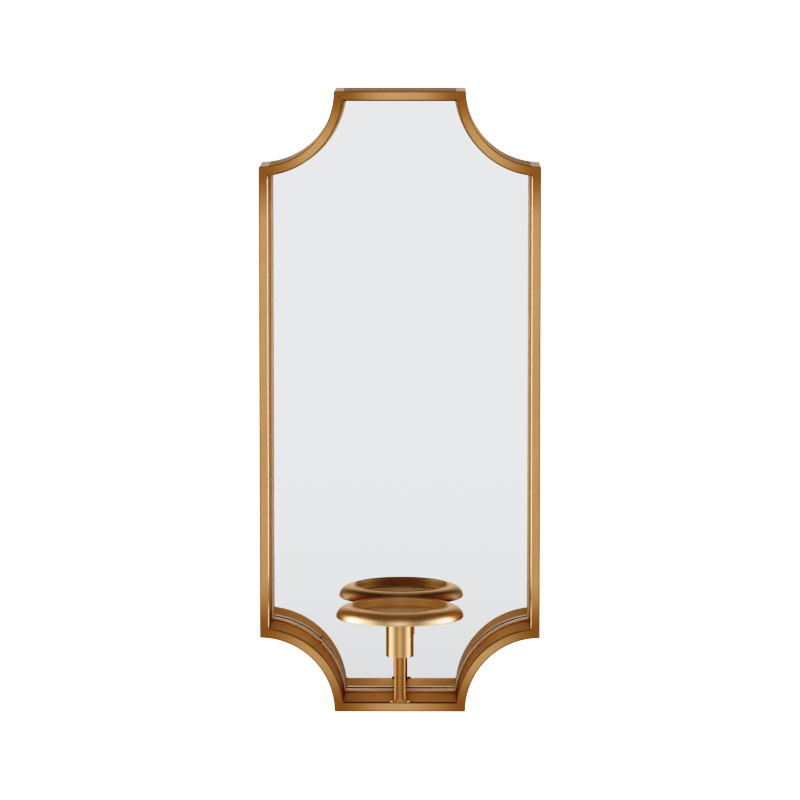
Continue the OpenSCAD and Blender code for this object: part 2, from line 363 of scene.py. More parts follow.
class Nodes:
    """A material's node tree, with one short call for each kind of node."""

    SOCKETS = {"color": "Base Color", "metallic": "Metallic", "roughness": "Roughness",
               "coat": "Coat Weight", "coat_roughness": "Coat Roughness", "tint": "Specular Tint",
               "sheen": "Sheen Weight", "sheen_roughness": "Sheen Roughness",
               "sheen_tint": "Sheen Tint"}

    def __init__(self, name):
        self.material = bpy.data.materials.new(name)
        self.material.use_nodes = True
        self.tree = self.material.node_tree
        self.shader = self.tree.nodes["Principled BSDF"]
        self.place = self.tree.nodes.new("ShaderNodeTexCoord").outputs["Object"]

    def put(self, kind, settings=None, **inputs):
        """A new node. An input is given by its name, or as i0, i1 and so on by its number."""
        node = self.tree.nodes.new(kind)
        for key, value in (settings or {}).items():
            setattr(node, key, value)
        for key, value in inputs.items():
            numbered = key[0] == "i" and key[1:].isdigit()
            self.feed(node.inputs[int(key[1:]) if numbered else key], value)
        return node

    def feed(self, socket, value):
        if isinstance(value, bpy.types.NodeSocket):
            self.tree.links.new(value, socket)
        else:
            socket.default_value = value

    def math(self, operation, a, b=0.0):
        return self.put("ShaderNodeMath", {"operation": operation}, i0=a, i1=b).outputs[0]

    def times(self, a, b):
        return self.math("MULTIPLY", a, b)

    def vector(self, operation, a, b=(0, 0, 0)):
        node = self.put("ShaderNodeVectorMath", {"operation": operation}, i0=a, i1=b)
        return node.outputs["Value" if operation in ("DISTANCE", "LENGTH") else "Vector"]

    def axes(self, vector):
        return self.put("ShaderNodeSeparateXYZ", i0=vector).outputs

    def noise(self, scale, detail=2.0, rough=0.5, place=None, stretch=None):
        place = place or self.place
        if stretch:
            place = self.vector("MULTIPLY", place, stretch)
        return self.put("ShaderNodeTexNoise", Vector=place, Scale=scale, Detail=detail,
                        Roughness=rough).outputs["Fac"]

    def ranged(self, value, low, high, to_low=0.0, to_high=1.0, smooth=True):
        """Carries a value from one range to another, and holds it at the ends."""
        kind = "SMOOTHSTEP" if smooth else "LINEAR"
        node = self.put("ShaderNodeMapRange", {"interpolation_type": kind}, Value=value)
        node.inputs["From Min"].default_value = low
        node.inputs["From Max"].default_value = high
        node.inputs["To Min"].default_value = to_low
        node.inputs["To Max"].default_value = to_high
        return node.outputs[0]

    def uneven(self, low, high, scale=90.0, detail=3.0):
        """A roughness that drifts between two values."""
        return self.ranged(self.noise(scale, detail), 0.2, 0.8, low, high, smooth=False)

    def mix(self, share, first, second):
        node = self.put("ShaderNodeMix", {"data_type": "RGBA"})
        self.feed(node.inputs[0], share)
        self.feed(node.inputs[6], first)
        self.feed(node.inputs[7], second)
        return node.outputs[2]

    def bump(self, height, strength, distance=0.1 * MM):
        node = self.put("ShaderNodeBump", Strength=strength, Distance=distance, Height=height)
        self.feed(self.shader.inputs["Normal"], node.outputs[0])

    def set(self, **values):
        for key, value in values.items():
            self.feed(self.shader.inputs[self.SOCKETS[key]], value)
        return self.material


def rgb(r, g, b):
    return (r, g, b, 1.0)


GOLD = rgb(0.71, 0.43, 0.225)
GOLD_DEEP = rgb(0.66, 0.38, 0.19)
GOLD_WORN = rgb(0.86, 0.60, 0.37)
GOLD_CORNER_SHADE = rgb(0.36, 0.18, 0.075)        # painted shade, darker and redder near where the bars meet
GOLD_EDGE_SHADE = rgb(0.30, 0.19, 0.10)          # painted shade in a band along the outer edges
GOLD_LINE_SHADE = rgb(0.20, 0.125, 0.055)         # painted shade in a line along the inner front edges
GOLD_EDGE_HIGHLIGHT = rgb(0.80, 0.60, 0.42)         # painted highlight on the rails' inner front edges
GOLD_UP_REFLECTION = rgb(0.40, 0.29, 0.26)          # painted reflection of the pale surround, on the outer faces that look up
GOLD_GROUND_CAP_REFLECTION = rgb(0.80, 0.67, 0.62)         # the same painted reflection on the caps, paler because their ground faces are paler too
GOLD_TINT = rgb(0.95, 0.70, 0.46)
# Paler gold on the stop strip: painted highlight
STRIP_HIGHLIGHT_GOLD, STRIP_HIGHLIGHT_DEEP = rgb(0.88, 0.66, 0.47), rgb(0.80, 0.58, 0.40)
# Pale welds: painted highlight
WELD_HIGHLIGHT_PALE, WELD_HIGHLIGHT_DEEP = rgb(0.92, 0.68, 0.46), rgb(0.84, 0.58, 0.38)
DISH_GOLD, DISH_DEEP = rgb(0.84, 0.58, 0.36), rgb(0.74, 0.48, 0.28)
DISH_SEAT_SHADE, DISH_TINT = rgb(0.70, 0.48, 0.27), rgb(1.0, 0.86, 0.72)
STEM_GOLD, STEM_SHEEN = rgb(0.78, 0.50, 0.28), rgb(1.0, 0.84, 0.66)
MIRROR_GREY = rgb(0.68, 0.70, 0.722)
GLASS_DEEP, GLASS_GREEN = rgb(0.10, 0.24, 0.19), rgb(0.20, 0.36, 0.30)
BACKING_DARK, BACKING_GREY = rgb(0.20, 0.22, 0.24), rgb(0.28, 0.30, 0.32)
FIBRE_DARK, FIBRE_BROWN = rgb(0.085, 0.045, 0.022), rgb(0.235, 0.135, 0.070)
BOARD_DUST = rgb(0.30, 0.19, 0.11)
FOAM_GREY, FOAM_PALE = rgb(0.74, 0.74, 0.71), rgb(0.84, 0.84, 0.82)
ZINC_LINES = rgb(0.45, 0.44, 0.41)
FLOOR_TONES = rgb(0.80, 0.79, 0.77), rgb(0.84, 0.83, 0.82)


def gold_tone(n, tone=GOLD, deep=GOLD_DEEP):
    """Hand-rubbed gold: broad soft clouds, with a few finer paler rubs."""
    clouds = n.ranged(n.noise(26.0, 3.0, 0.55), 0.35, 0.70)
    rubs = n.ranged(n.noise(160.0, 4.0, 0.6), 0.55, 0.80)
    base = n.mix(n.times(clouds, 0.25), tone, deep)
    return n.mix(n.times(rubs, 0.12), base, GOLD_WORN)


def inside_edge(n, folded):
    """Distance of a point inside the frame's outer edge, from its place in one quarter."""
    x, _, z = n.axes(folded)
    scoop = n.vector("DISTANCE", folded, (HALF_W, 0, HALF_H))
    straight = n.math("MINIMUM", n.math("SUBTRACT", HALF_W, x), n.math("SUBTRACT", HALF_H, z))
    return n.math("MINIMUM", straight, n.math("SUBTRACT", scoop, CORNER_R))


def gold_frame(name, pale_ends=False):
    """Satin gold on the welded frame, with painted shade darker and redder where the bars meet.

    Painted shade lies in a dark band along the outer edges, and in a dark line along the inner
    front edges of the arcs and the short bars. On the rails that edge gets a painted highlight
    instead. Outer faces that look up are greyer with a painted reflection of the pale surround,
    and paler on the ground caps, which are also paler in their own right."""
    n = Nodes(name)
    depth = n.axes(n.place)["Y"]
    folded = n.vector("ABSOLUTE", n.vector("SUBTRACT", n.place, (0, FRONT_Y, MID_Z)))
    folded = n.vector("MULTIPLY", folded, (1, 0, 1))
    along = n.axes(folded)["Z"]
    inside = inside_edge(n, folded)
    unsteady = n.ranged(n.noise(70.0, 3.0), 0.3, 0.7, 0.72, 0.88)

    # Painted shade: darker and redder around the joints where the bars meet
    joints = [(BAR_END_X + BAR_T / 2, 0, HALF_H - BAR_T / 2),
              (HALF_W - BAR_T / 2, 0, SHOULDER_Z - BAR_T / 2)]
    nearest = n.math("MINIMUM", *[n.vector("DISTANCE", folded, joint) for joint in joints])
    wander = n.times(n.noise(45.0, 2.0), 12 * MM)
    painted_shade = n.ranged(n.math("ADD", nearest, wander), 4 * MM, 44 * MM, 1.0, 0.0)
    color = n.mix(painted_shade, gold_tone(n), GOLD_CORNER_SHADE)

    # Painted shade: a dark band along the outer edges
    edge_shade = n.times(n.ranged(inside, 0.5 * MM, 1.4 * MM, 0.85, 0.0), unsteady)
    color = n.mix(edge_shade, color, GOLD_EDGE_SHADE)

    bevel_y = FRONT_Y + CHAMFER
    rail_end = (SHOULDER_Z - 9 * MM, SHOULDER_Z - 3 * MM)
    # Painted highlight: a pale line along the rails' inner front edges, which are also made
    # smoother
    edge_highlight = n.ranged(inside, BAR_T - CHAMFER - 0.3 * MM, BAR_T - CHAMFER + 0.1 * MM)
    edge_highlight = n.times(edge_highlight, n.ranged(depth, bevel_y, bevel_y + 0.6 * MM, 1.0, 0.0))
    edge_highlight = n.times(edge_highlight, n.ranged(inside, BAR_T, BAR_T + 0.3 * MM, 1.0, 0.0))
    edge_highlight = n.times(edge_highlight, n.ranged(along, *rail_end, 1.0, 0.0))
    color = n.mix(n.times(edge_highlight, unsteady), color, GOLD_EDGE_HIGHLIGHT)

    # Painted shade: a dark line along the inner front edges of the arcs and the short bars
    line_shade = n.ranged(inside, BAR_T - 1.2 * MM, BAR_T - 0.7 * MM, 0.0, 0.85)
    line_shade = n.times(line_shade, n.ranged(inside, BAR_T, BAR_T + 0.2 * MM, 1.0, 0.0))
    line_shade = n.times(line_shade, n.ranged(depth, bevel_y, bevel_y + 0.4 * MM, 1.0, 0.0))
    line_shade = n.times(line_shade, n.ranged(along, *rail_end))
    color = n.mix(line_shade, color, GOLD_LINE_SHADE)

    # Painted reflection of the pale surround on outer faces that look up, paler on the caps
    up = n.axes(n.put("ShaderNodeNewGeometry").outputs["Normal"])["Z"]
    up_reflection = n.times(n.ranged(up, 0.4, 0.9), n.ranged(inside, 0.15 * MM, 0.5 * MM, 1.0, 0.0))
    color = n.mix(n.times(up_reflection, 1.0 if pale_ends else 0.75), color,
                  GOLD_GROUND_CAP_REFLECTION if pale_ends else GOLD_UP_REFLECTION)

    n.bump(n.noise(1500.0, 3.0, 0.6), 0.12)
    rough = n.math("SUBTRACT", n.uneven(0.41, 0.46), n.times(edge_highlight, 0.24))
    return n.set(color=color, metallic=0.85, roughness=rough, tint=GOLD_TINT)


def gold_strip_highlight():
    """Gold on the thin strip in front of the mirror, painted paler and brighter as a highlight."""
    n = Nodes("gold_strip_highlight")
    return n.set(color=gold_tone(n, STRIP_HIGHLIGHT_GOLD, STRIP_HIGHLIGHT_DEEP), metallic=0.9,
                 roughness=n.uneven(0.40, 0.48))


def gold_weld_highlight():
    """Small welds, painted pale as a highlight."""
    n = Nodes("gold_weld_highlight")
    return n.set(color=n.mix(n.noise(400.0, 2.0), WELD_HIGHLIGHT_PALE, WELD_HIGHLIGHT_DEEP), metallic=0.8,
                 roughness=n.uneven(0.22, 0.32, 900.0, 2.0))


def from_axis(n, axis_y):
    """A point's distance from the turned parts' axis, and its height."""
    moved = n.vector("SUBTRACT", n.place, (0, axis_y, 0))
    return n.vector("LENGTH", n.vector("MULTIPLY", moved, (1, 1, 0))), n.axes(n.place)["Z"]


def gold_dish(axis_y, seat_r, top_z):
    """Polished gold dish. Its candle seat is left duller, and painted darker as shade in the
    recess.
    """
    n = Nodes("gold_dish")
    radius, height = from_axis(n, axis_y)
    seat = n.times(n.ranged(radius, seat_r - 0.2 * MM, seat_r + 0.6 * MM, 1.0, 0.0),
                   n.ranged(height, top_z - 9 * MM, top_z - 7 * MM))
    # Painted shade: the candle seat is darker than the rest of the dish
    color = n.mix(n.times(seat, 0.7), gold_tone(n, DISH_GOLD, DISH_DEEP), DISH_SEAT_SHADE)
    rough = n.math("ADD", n.uneven(0.31, 0.37), n.times(seat, 0.14))
    metal = n.math("SUBTRACT", 0.95, n.times(seat, 0.55))
    return n.set(color=color, metallic=metal, roughness=rough, tint=DISH_TINT)


def gold_stem(axis_y):
    """Satin gold stem, with the fine rings that the lathe left on it."""
    n = Nodes("gold_stem")
    radius, height = from_axis(n, axis_y)
    rows = n.put("ShaderNodeCombineXYZ", i0=radius, i2=height).outputs[0]
    rings = n.noise(1100.0, 4.0, 0.7, place=rows)
    color = n.mix(n.ranged(rings, 0.35, 0.65, 0.0, 0.45), gold_tone(n, STEM_GOLD, GOLD), GOLD_DEEP)
    rough = n.ranged(rings, 0.3, 0.7, 0.30, 0.38, smooth=False)
    return n.set(color=color, metallic=0.9, roughness=rough, sheen=0.2, sheen_roughness=0.3,
                 sheen_tint=STEM_SHEEN)


def gold_post():
    """Gold on the welded post, with painted shade over it that is darkest towards its foot, where
    it meets the bottom bar.
    """
    n = Nodes("gold_post")
    # Painted shade: darker all over, darkest at the foot
    painted_shade = n.ranged(n.axes(n.place)["Z"], FLOOR_Z, FLOOR_Z + 45 * MM, 0.75, 0.45)
    return n.set(color=n.mix(painted_shade, gold_tone(n), GOLD_CORNER_SHADE), metallic=0.9,
                 roughness=n.uneven(0.27, 0.35))


def mirror_face():
    n = Nodes("mirror_face")
    haze = n.ranged(n.noise(14.0, 2.0), 0.3, 0.8, 0.005, 0.02, smooth=False)
    return n.set(color=MIRROR_GREY, metallic=1.0, roughness=haze)


def glass_edge():
    n = Nodes("glass_edge")
    return n.set(color=n.mix(n.noise(300.0, 2.0), GLASS_DEEP, GLASS_GREEN), roughness=0.25,
                 coat=0.5, coat_roughness=0.1)


def mirror_backing():
    n = Nodes("mirror_backing_paint")
    n.bump(n.noise(700.0, 3.0), 0.15)
    return n.set(color=n.mix(n.noise(120.0, 4.0), BACKING_DARK, BACKING_GREY), roughness=0.5)


def hardboard():
    """Brown hardboard: pressed fibres in two tones, with broad paler clouds."""
    n = Nodes("hardboard")
    fibres = n.noise(1100.0, 6.0, 0.7, stretch=(1.0, 1.0, 0.45))
    clouds = n.noise(18.0, 3.0)
    tone = n.mix(n.ranged(fibres, 0.35, 0.7), FIBRE_DARK, FIBRE_BROWN)
    tone = n.mix(n.times(clouds, 0.35), tone, BOARD_DUST)
    n.bump(fibres, 0.3, 0.2 * MM)
    return n.set(color=tone, roughness=n.ranged(clouds, 0.2, 0.8, 0.5, 0.68, smooth=False))


def foam():
    n = Nodes("foam_sheet")
    cells = n.put("ShaderNodeTexVoronoi", Vector=n.place, Scale=900.0).outputs["Distance"]
    n.bump(cells, 0.4, 0.3 * MM)
    return n.set(color=n.mix(n.noise(200.0), FOAM_GREY, FOAM_PALE), roughness=0.8)


def rubber(name, dark, light):
    n = Nodes(name)
    speckle = n.noise(1300.0, 3.0)
    n.bump(speckle, 0.25)
    return n.set(color=n.mix(speckle, rgb(dark, dark, dark), rgb(light, light, light)),
                 roughness=n.uneven(0.55, 0.75, 150.0, 2.0))


def zinc(name, first, second, stretch):
    """Zinc plate: pale metal with soft spangles and fine rolling lines."""
    n = Nodes(name)
    cells = n.put("ShaderNodeTexVoronoi", Vector=n.place, Scale=260.0).outputs["Color"]
    spangle = n.put("ShaderNodeSeparateColor", i0=cells).outputs[0]
    lines = n.noise(900.0, 3.0, 0.6, stretch=stretch)
    tone = n.mix(n.times(spangle, 0.5), first, second)
    tone = n.mix(n.times(n.ranged(lines, 0.4, 0.7), 0.2), tone, ZINC_LINES)
    n.bump(lines, 0.15)
    return n.set(color=tone, metallic=1.0,
                 roughness=n.ranged(spangle, 0.0, 1.0, 0.28, 0.42, smooth=False))


FRAME_GOLD = gold_frame("gold_frame")
CAP_GOLD = gold_frame("gold_caps", pale_ends=True)
WELD_HIGHLIGHT_GOLD = gold_weld_highlight()
BUTTON_ZINC = zinc("button_zinc", rgb(0.52, 0.51, 0.47), rgb(0.66, 0.64, 0.58), (1.0, 1.0, 0.12))
PLATE_ZINC = zinc("zinc_steel", rgb(0.46, 0.47, 0.48), rgb(0.62, 0.63, 0.64), (0.12, 1.0, 1.0))


# ---------------------------------------------------------------- frame

def frame_pieces():
    """Cuts one swept ring at the joints, so that bars, arcs and caps meet without a step."""
    ring = swept_ring(bar_section(CHAMFER), bar_section(ARC_CHAMFER))
    right, up = Vector((1, 0, 0)), Vector((0, 0, 1))

    def beyond_x(x, way):
        """The plane at x, which cuts off what lies on the side that way points to."""
        return (x, 0, 0), right * way

    def beyond_z(z, way):
        return (0, 0, MID_Z + z), up * way

    def cut(name, cuts):
        piece(f"{name}_finished", kept_part(ring, cuts), [FRAME_GOLD], [name])

    for end, word in ((1, "top"), (-1, "bottom")):
        half = beyond_z(0, -end)
        cut(f"{word}_bar", [half, beyond_x(BAR_END_X, 1), beyond_x(-BAR_END_X, -1)])
        for side, hand in ((1, "right"), (-1, "left")):
            cut(f"corner_arc_{word}_{hand}",
                [half, beyond_x(side * BAR_END_X, -side), beyond_x(side * ARC_END_X, side),
                 beyond_z(end * CAP_Z, end)])
    for side, hand in ((1, "right"), (-1, "left")):
        cut(f"{hand}_rail", [beyond_x(side * ARC_END_X, -side), beyond_z(SHOULDER_Z, 1),
                             beyond_z(-SHOULDER_Z, -1)])
    arc_caps, rail_caps = bmesh.new(), bmesh.new()
    for side in (1, -1):
        for end in (1, -1):
            merge(arc_caps, kept_part(ring, [beyond_x(side * BAR_END_X, -side),
                                             beyond_z(end * CAP_Z, -end)]))
            merge(rail_caps, kept_part(ring, [beyond_x(side * ARC_END_X, -side),
                                              beyond_z(end * SHOULDER_Z, -end)]))
    piece("arc_end_caps_finished", arc_caps, [CAP_GOLD], ["arc_end_caps"])
    piece("rail_end_caps_finished", rail_caps, [CAP_GOLD], ["rail_end_caps"])
    ring.free()


def paint_weld_highlights(made, centres, reach):
    """Gives a piece's second material, the painted weld highlight, to its faces near some welds."""
    for polygon in made.data.polygons:
        if any((polygon.center - centre).length < reach for centre in centres):
            polygon.material_index = 1


def stop_strip():
    """Strip bent round the inside of the frame, with one tack weld on its lower left arc."""
    low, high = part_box("mirror_stop_strip")
    crisp, eased = (CRISP_R, CRISP_R), (0.3 * MM, 0.3 * MM)
    bm = swept_ring(rounded_section(BAR_T, BAR_T + STOP_T, low.y, high.y,
                                    (crisp, eased, crisp, crisp)))
    angle, reach = math.radians(46), CORNER_R + BAR_T + STOP_T - 0.2 * MM
    tack = Vector((-HALF_W + reach * math.cos(angle), low.y,
                   CAD_LOW.z + reach * math.sin(angle)))
    bead(bm, tack, (1.3 * MM, 0.35 * MM, 1.3 * MM))
    strip = piece("mirror_stop_strip_finished", bm, [gold_strip_highlight(), WELD_HIGHLIGHT_GOLD],
                  ["mirror_stop_strip"])
    paint_weld_highlights(strip, [tack], 1.4 * MM)


def tape():
    """Black tape between the strip and the glass, a little narrower than the strip."""
    low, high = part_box("glazing_tape")
    edge = (0.1 * MM, 0.1 * MM)
    bm = swept_ring(rounded_section(BAR_T, BAR_T + STOP_T - 0.3 * MM, low.y, high.y, [edge] * 4, 2))
    piece("glazing_tape_finished", bm, [rubber("glazing_tape", 0.018, 0.040)],
          ["glazing_tape"])


def mirror():
    """Mirror glass with broken edges: silvered face, green edge and painted back."""
    low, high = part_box("mirror_glass")
    outline = [(x, MID_Z + z) for x, z in whole_outline(HALF_W - high.x)]
    arris, facing = 0.3 * MM, 0.9
    levels = [(inset(arris), low.y), (inset(0), low.y + arris), (inset(0), high.y - arris),
              (inset(arris), high.y)]
    made = piece("mirror_finished", prism(outline, levels),
                 [glass_edge(), mirror_face(), mirror_backing()], ["mirror_glass"],
                 sharp=20)
    for polygon in made.data.polygons:
        if polygon.normal.y < -facing:
            polygon.material_index = 1
        elif polygon.normal.y > facing:
            polygon.material_index = 2


# ---------------------------------------------------------------- candle dish, stem and post

DISH_LOW, DISH_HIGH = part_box("candle_dish")
AXIS_Y = (DISH_LOW.y + DISH_HIGH.y) / 2
SEAT_R = 33.7 * MM
SINK_DEPTH = 2.1 * MM               # countersink under the dish screw's head
DISH_METAL = gold_dish(AXIS_Y, SEAT_R, DISH_HIGH.z)


def oval(centre, across, up, first, last, steps):
    """Points of an upright oval's arc, between two angles in degrees."""
    turns = [math.radians(t) for t in spaced(first, last, steps)]
    return [(centre[0] + across * math.cos(a), centre[1] + up * math.sin(a)) for a in turns]


def candle_dish():
    """Dish with a broad rounded rim, a small bead round its seat, and a countersunk hole."""
    outer_r, height = DISH_HIGH.x, DISH_HIGH.z - DISH_LOW.z
    seat_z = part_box("dish_screw")[1].z - DISH_LOW.z
    widest_h, lip_r, fillet = 1.2 * MM, 1.3 * MM, 0.8 * MM
    crest_r, crest_h = SEAT_R + lip_r, height - 0.45 * MM
    bead_r, lip_h = 0.75 * MM, height - 0.2 * MM
    bore_r, sink_r = 2.6 * MM, 4.75 * MM
    relief_in, relief_out, relief_h = 14 * MM, 38 * MM, 0.8 * MM

    profile = [(bore_r, 0), (relief_in, 0), (relief_in, relief_h), (relief_out, relief_h),
               (relief_out, 0)]
    profile += oval((outer_r - widest_h, widest_h), widest_h, widest_h, -90, 0, 6)
    profile += oval((crest_r, widest_h), outer_r - crest_r, crest_h - widest_h, 0, 79, 22)[1:]
    profile += oval((SEAT_R + 0.55 * MM + bead_r, height - bead_r), bead_r, bead_r, 20, 130, 7)
    profile += oval((SEAT_R + lip_r, lip_h - lip_r), lip_r, lip_r, 150, 180, 3)
    profile += oval((SEAT_R - fillet, seat_z + fillet), fillet, fillet, 0, -90, 5)
    profile += [(sink_r, seat_z), (bore_r, seat_z - SINK_DEPTH)]
    dish = lathe(profile + profile[:1], (0, AXIS_Y, DISH_LOW.z))
    bmesh.ops.remove_doubles(dish, verts=dish.verts, dist=SAME_PLACE)
    piece("candle_dish_finished", dish, [DISH_METAL], ["candle_dish"], sharp=40)


def dish_screw():
    low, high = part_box("dish_screw")
    shank_r = 2.5 * MM
    head = [(4.35 * MM, 0), (4.55 * MM, -0.1 * MM), (shank_r, -SINK_DEPTH)]
    screw = cross_screw(head, shank_r, high.z - low.z, arm=2.4 * MM, width=0.9 * MM,
                        depth=1.5 * MM, steps=64)
    piece("dish_screw_finished", placed(screw, 0, AXIS_Y, high.z, False), [DISH_METAL],
          ["dish_screw"])


def stem():
    """Turned stem with an eased foot, a little wider right under the dish."""
    low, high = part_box("stem_socket")
    r, height, foot, flare = high.x, high.z - low.z, 0.5 * MM, 0.5 * MM
    profile = [(0, 0), (r - foot, 0), (r - 0.15 * MM, 0.15 * MM), (r, foot), (r, height - 0.8 * MM),
               (r + 0.15 * MM, height - 0.3 * MM), (r + flare, height), (0, height)]
    piece("stem_finished", lathe(profile, (0, AXIS_Y, low.z)), [gold_stem(AXIS_Y)],
          ["stem_socket"])


def support_post():
    """Bar with a rounded front, welded to the bottom bar's face with a fillet on each side."""
    low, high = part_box("support_post")
    half, depth = high.x, high.y - low.y
    foot_r, foot_back = 1.6 * MM, 0.6 * MM      # fillets, and set-back of the lowest end
    belly_low, belly_rise, belly_h = 0.5 * MM, 2.0 * MM, 4 * MM
    heights = [FLOOR_Z - foot_r, FLOOR_Z - CHAMFER - 0.1 * MM]
    heights += [FLOOR_Z + foot_r * (1 - math.cos(math.radians(t))) for t in spaced(0, 90, 10)]
    heights += [FLOOR_Z + belly_h, FLOOR_Z + 2 * belly_h, high.z]
    bm = bmesh.new()
    loops = []
    for i, z in enumerate(heights):
        above = max(z - FLOOR_Z, 0)
        rise = min(above / foot_r, 1)
        wide = half + foot_r * (1 - math.sqrt(1 - (1 - rise) ** 2))
        belly = belly_low + belly_rise * min(above / belly_h, 1)    # how far the sides fall back
        front = low.y + (foot_back if i == 0 else 0)
        section = [(-wide, front + depth), (-wide, front + belly)]
        section += [(-wide * math.cos(math.radians(t)),
                     front + belly * (1 - math.sin(math.radians(t)))) for t in spaced(6, 174, 20)]
        section += [(wide, front + belly), (wide, front + depth)]
        loops.append([bm.verts.new((x, y, z)) for x, y in section])
    join_loops(bm, loops, closed=False)
    bm.faces.new(loops[0])
    bm.faces.new(loops[-1][::-1])
    welds = [Vector((side * (half + foot_r), low.y + 0.8 * MM, FLOOR_Z + 0.3 * MM))
             for side in (-1, 1)]
    for weld in welds:
        bead(bm, weld, (1.1 * MM, 0.8 * MM, 0.9 * MM))
    post = piece("support_post_finished", bm, [gold_post(), WELD_HIGHLIGHT_GOLD],
                 ["support_post"], sharp=50)
    paint_weld_highlights(post, welds, 1.3 * MM)


# ---------------------------------------------------------------- back hardware

# Which way each button points at rest, in degrees from +X
BUTTONS = {"upper_left": 0, "upper_right": 180, "lower_left": 0, "lower_right": 180, "bottom": 90}
PAN_HEAD = in_mm([(1.7, 0), (2.3, -0.12), (2.72, -0.42), (2.9, -0.95), (2.9, -1.4), (1.5, -1.4)])
FLAT_HEAD = in_mm([(2.6, 0), (2.75, -0.1), (1.5, -1.5)])
BUMPER_DOME = in_mm([(0, 0), (4.8, 0), (5, 0.25), (5, 1.3), (4.75, 2.0), (4.2, 2.55), (3.3, 2.85),
                     (2, 2.97), (0, 3)])
SMALL_SCREW_R = 1.5 * MM


def turn_buttons():
    """Five round-ended buttons, each on its own screw."""
    screws = bmesh.new()
    end_r, bore, ease = BAR_T / 2, 1.58 * MM, 0.2 * MM
    screw_low, screw_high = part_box("turn_button_screws")
    for place, degrees in BUTTONS.items():
        low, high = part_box(f"turn_button_{place}")
        x = {0: low.x + end_r, 180: high.x - end_r, 90: (low.x + high.x) / 2}[degrees]
        z = low.z + end_r
        reach = max(high.x - low.x, high.z - low.z) - 2 * end_r
        outline = circle(reach, 0, end_r, 20, -90, 90) + circle(0, 0, end_r, 20, 90, 270)
        c, s = math.cos(math.radians(degrees)), math.sin(math.radians(degrees))
        swung = [(x + u * c - v * s, z + u * s + v * c) for u, v in outline]
        hole = eased_hole(lambda grow: circle(x, z, bore + grow), low.y, high.y, ease)
        button = drilled_plate([eased_wall(swung, low.y, high.y, ease), hole])
        piece(f"turn_button_{place}_finished", button, [BUTTON_ZINC],
              [f"turn_button_{place}"], f"button_{place}")
        screw = cross_screw(PAN_HEAD, SMALL_SCREW_R, screw_high.y - screw_low.y, arm=1.5 * MM,
                            width=0.6 * MM, depth=0.9 * MM)
        merge(screws, placed(screw, x, screw_high.y, z))
    piece("turn_button_screws_finished", screws, [PLATE_ZINC],
          ["turn_button_screws"])


def hanger():
    """Keyhole plate with rounded lower corners, and its two countersunk screws."""
    low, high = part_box("hanger_plate")
    corner, soft, ease = 3 * MM, 0.6 * MM, 0.3 * MM
    outline = circle(low.x + corner, low.z + corner, corner, 10, 180, 270)
    outline += circle(high.x - corner, low.z + corner, corner, 10, 270, 360)
    outline += circle(high.x - soft, high.z - soft, soft, 4, 0, 90)
    outline += circle(low.x + soft, high.z - soft, soft, 4, 90, 180)
    key_r, slot_r, rise = 5 * MM, 2.5 * MM, 8 * MM

    def keyhole(grow):
        lean = math.degrees(math.asin((slot_r + grow) / (key_r + grow)))
        return (circle(0, rise, slot_r + grow, 20, 0, 180)
                + circle(0, 0, key_r + grow, 40, 90 + lean, 450 - lean))

    walls = [eased_wall(outline, low.y, high.y, ease), eased_hole(keyhole, low.y, high.y, ease)]
    screws = bmesh.new()
    screw_low, screw_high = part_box("hanger_screws")
    screw_z = (screw_low.z + screw_high.z) / 2
    head_r, bore, sink_r, sink_y = 2.8 * MM, 1.55 * MM, 2.85 * MM, -1.5 * MM
    for side in (-1, 1):
        x = side * (screw_high.x - head_r)
        walls.append([(circle(x, screw_z, bore), low.y), (circle(x, screw_z, bore), sink_y),
                      (circle(x, screw_z, sink_r), high.y)])
        screw = cross_screw(FLAT_HEAD, SMALL_SCREW_R, screw_high.y - screw_low.y, arm=1.6 * MM,
                            width=0.6 * MM, depth=0.9 * MM)
        merge(screws, placed(screw, x, screw_high.y, screw_z))
    piece("hanger_plate_finished", drilled_plate(walls), [PLATE_ZINC],
          ["hanger_plate"])
    piece("hanger_screws_finished", screws, [BUTTON_ZINC], ["hanger_screws"])


def bumpers():
    """Four domed rubber bumpers that keep the frame off the wall."""
    bm = bmesh.new()
    low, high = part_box("wall_bumpers")
    radius = 5 * MM
    for x in (low.x + radius, high.x - radius):
        for z in (low.z + radius, high.z - radius):
            merge(bm, placed(lathe(BUMPER_DOME, steps=48), x, low.y, z))
    piece("wall_bumpers_finished", bm, [rubber("bumper_rubber", 0.015, 0.035)],
          ["wall_bumpers"])


def carried_over():
    """Materials for the CAD nodes that stay as they are."""
    for name, material in (("back_panel", hardboard()), ("foam_sheet", foam())):
        for holder in bpy.data.objects[name].material_slots:
            holder.material = material


# ---------------------------------------------------------------- camera, light and floor

def camera():
    """Looks down on the sconce a little, from just right of its middle."""
    lens, sensor = 215.5, 36                                # millimetres
    aside, distance, above = 33.67 * MM, 3.431, 0.3826      # from the middle of the frame's face
    down, left = 6.318, 0.560                               # degrees
    made = bpy.data.cameras.new("camera")
    made.lens, made.sensor_width = lens, sensor
    eye = bpy.data.objects.new("camera", made)
    bpy.context.scene.collection.objects.link(eye)
    eye.location = (aside, FRONT_Y - distance, MID_Z + above)
    eye.rotation_euler = (math.radians(90 - down), 0, math.radians(left))
    bpy.context.scene.camera = eye


def softbox(name, place, target, width, height, watts):
    made = bpy.data.lights.new(name, "AREA")
    made.shape, made.size, made.size_y = "RECTANGLE", width, height
    made.energy = watts
    holder = bpy.data.objects.new(name, made)
    bpy.context.scene.collection.objects.link(holder)
    holder.location = place
    holder.rotation_euler = (target - Vector(place)).to_track_quat("-Z", "Y").to_euler()
    holder.visible_camera = False


